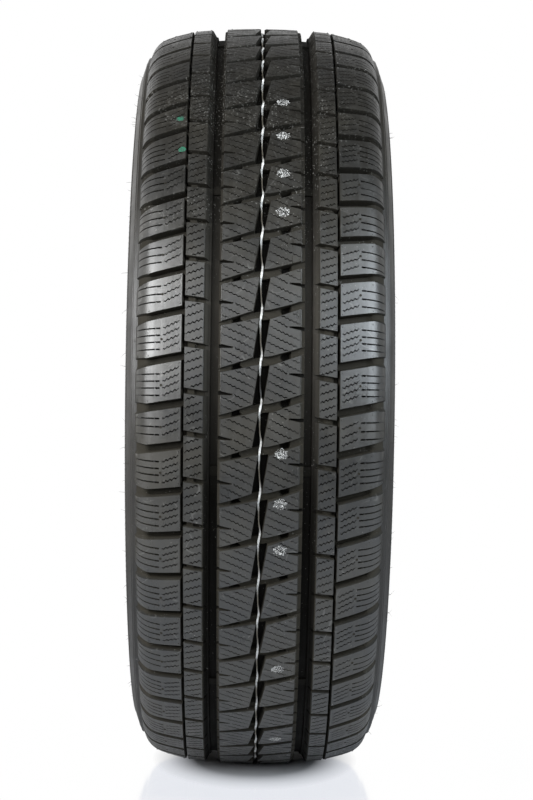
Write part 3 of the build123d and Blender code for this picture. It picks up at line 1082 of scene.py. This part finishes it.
# Pale near the tyre and greyer far off, by the distance. The camera sees it white but for a faint mirror
# image of the tyre, and less and less so close to the tyre, where the floor shows its shade
def makeFloor():
    half = floorLook["size"] / 2
    corners = [(-half, -half), (half, -half), (half, half), (-half, half)]
    mesh = bpy.data.meshes.new("floor")
    mesh.from_pydata([(x, y, floorLevel) for x, y in corners], [], [(0, 1, 2, 3)])
    floor = bpy.data.objects.new("floor", mesh)
    bpy.context.scene.collection.objects.link(floor)
    material, tree, shader = newMaterial("paleFloor")
    coords = addNode(tree, "ShaderNodeTexCoord").outputs["Object"]
    away = remap(tree, distanceOver(tree, coords, floorLook["shape"]), floorLook["end"])
    paling = blend(tree, away, floorLook["colour"], floorLook["farColour"])
    tree.links.new(paling, shader.inputs["Base Color"])
    shader.inputs["Roughness"].default_value = floorLook["roughness"]
    shader.inputs["Specular IOR Level"].default_value = floorLook["specular"]
    plain = remap(tree, distanceOver(tree, coords, floorLook["mirrorShape"]), floorLook["mirrorEnd"])
    glow = addNode(tree, "ShaderNodeEmission", {
        "Color": blend(tree, plain, floorLook["glowColour"], white), "Strength": 1.0})
    mirror = addNode(tree, "ShaderNodeBsdfGlossy", {
        "Color": blend(tree, plain, floorLook["mirror"], black), "Roughness": floorLook["mirrorRoughness"]})
    bright = addNode(tree, "ShaderNodeAddShader", {0: glow.outputs[0], 1: mirror.outputs[0]})
    path = addNode(tree, "ShaderNodeLightPath")
    beyond = remap(tree, distanceOver(tree, coords, floorLook["glowShape"]), floorLook["glow"])
    share = calculate(tree, "MULTIPLY", path.outputs["Is Camera Ray"], beyond)
    mix = addNode(tree, "ShaderNodeMixShader", {0: share, 1: shader.outputs[0], 2: bright.outputs[0]})
    tree.links.new(mix.outputs[0], tree.nodes["Material Output"].inputs["Surface"])
    mesh.materials.append(material)


worldLook = {
    "light": 0.32,                  # strength of the surroundings as light
    "front": (0.62, 0.06),          # how bright the gloss finds them in front, on a level and overhead
    "frontEnd": (0.20, 0.70),       # heights between which it turns from one to the other
    "behind": (1.0, 0.08),          # the same for the white wall behind
    "behindEnd": (0.30, 0.80),
    "wallEnd": (-0.15, 0.15),       # directions between which the wall behind ends
    "right": (1.0, 0.45),           # how much of that there is in the middle and on the right
    "rightEnd": (0.1, 0.7),         # directions between which it turns from one to the other
}


# White surroundings as the camera sees them. The gloss finds a white wall behind and greyer surroundings in
# front, both darker overhead, and the rest is a plain grey light
def makeWorld():
    world = bpy.data.worlds.new("studio")
    bpy.context.scene.world = world
    world.use_nodes = True
    tree = world.node_tree
    direction = addNode(tree, "ShaderNodeTexCoord").outputs["Generated"]
    axes = addNode(tree, "ShaderNodeSeparateXYZ", {0: direction}).outputs
    path = addNode(tree, "ShaderNodeLightPath")
    front = remap(tree, axes["Z"], worldLook["frontEnd"], worldLook["front"])
    behind = remap(tree, axes["Z"], worldLook["behindEnd"], worldLook["behind"])
    share = remap(tree, axes["X"], worldLook["wallEnd"])
    grey = addNode(tree, "ShaderNodeMix", {0: share, 2: behind, 3: front}).outputs[0]
    side = remap(tree, axes["Y"], worldLook["rightEnd"], worldLook["right"])
    grey = calculate(tree, "MULTIPLY", grey, side)
    seen = tree.nodes["Background"]
    seen.inputs["Color"].default_value = white
    tree.links.new(calculate(tree, "MAXIMUM", grey, path.outputs["Is Camera Ray"]), seen.inputs["Strength"])
    light = addNode(tree, "ShaderNodeBackground", {"Color": white, "Strength": worldLook["light"]})
    shown = calculate(tree, "MAXIMUM", path.outputs["Is Camera Ray"], path.outputs["Is Glossy Ray"])
    shown = calculate(tree, "MAXIMUM", shown, path.outputs["Is Transmission Ray"])
    mix = addNode(tree, "ShaderNodeMixShader", {0: shown, 1: light.outputs[0], 2: seen.outputs[0]})
    tree.links.new(mix.outputs[0], tree.nodes["World Output"].inputs["Surface"])


lamps = [                           # name, place in metres, width, height, power and colour
    ("leftSoftbox", (1.50, -1.78, 0.76), 1.15, 1.5, 66.0, (0.98, 0.99, 1.0)),
    ("rightSoftbox", (1.36, 1.89, 0.76), 1.40, 1.5, 50.0, (0.85, 0.93, 1.0)),
    ("leftFill", (2.25, -0.76, 0.93), 0.60, 1.2, 7.2, (0.97, 0.985, 1.0)),
    ("rightFill", (2.20, 0.90, 0.93), 0.75, 1.2, 9.8, (0.85, 0.93, 1.0)),
]


# Upright softboxes, each turned to face the middle of the tyre
def makeLamps():
    for name, place, width, height, power, colour in lamps:
        lamp = bpy.data.lights.new(name, "AREA")
        lamp.shape = "RECTANGLE"
        lamp.size = width
        lamp.size_y = height
        lamp.energy = power
        lamp.color = colour
        softbox = bpy.data.objects.new(name, lamp)
        bpy.context.scene.collection.objects.link(softbox)
        softbox.location = place
        softbox.rotation_euler = (-softbox.location).to_track_quat("-Z", "Y").to_euler()


# The camera was fitted to the photograph: focal length in pixels of an 800 pixel height, and the rest in
# outside radii and degrees
photoCamera = {
    "focal": 2238.0,
    "imageHeight": 800.0,
    "sensor": 36.0,                 # millimetres
    "distance": 6.183,
    "height": -0.0110,
    "aside": 0.0226,
    "yaw": 0.504,
    "lean": 0.608,
}


# The tyre's yaw about its upright and its lean about the line of sight turn the camera's axes the other way,
# and the camera's place is measured along them
def makeCamera():
    yaw, lean = math.radians(photoCamera["yaw"]), math.radians(photoCamera["lean"])
    turned = Matrix(((math.cos(yaw), -math.sin(yaw), 0), (math.sin(yaw), math.cos(yaw), 0), (0, 0, 1)))
    leant = Matrix(((1, 0, 0), (0, math.cos(lean), math.sin(lean)), (0, -math.sin(lean), math.cos(lean))))
    axes = (leant @ turned).transposed()          # columns: towards the camera, right and up
    lens = bpy.data.cameras.new("photoCamera")
    lens.sensor_width = photoCamera["sensor"]
    lens.lens = photoCamera["focal"] / photoCamera["imageHeight"] * lens.sensor_width
    camera = bpy.data.objects.new("photoCamera", lens)
    bpy.context.scene.collection.objects.link(camera)
    place = axes @ Vector((photoCamera["distance"], photoCamera["aside"], photoCamera["height"]))
    place *= outsideRadius * meshing["metres"]
    back, right, up = axes.col[0], axes.col[1], axes.col[2]
    camera.matrix_world = Matrix((
        (right.x, up.x, back.x, place.x), (right.y, up.y, back.y, place.y),
        (right.z, up.z, back.z, place.z), (0, 0, 0, 1)))
    bpy.context.scene.camera = camera


makeFloor()
makeWorld()
makeLamps()
makeCamera()
bpy.context.scene.view_settings.view_transform = "Standard"
print("stage, lights and camera made")
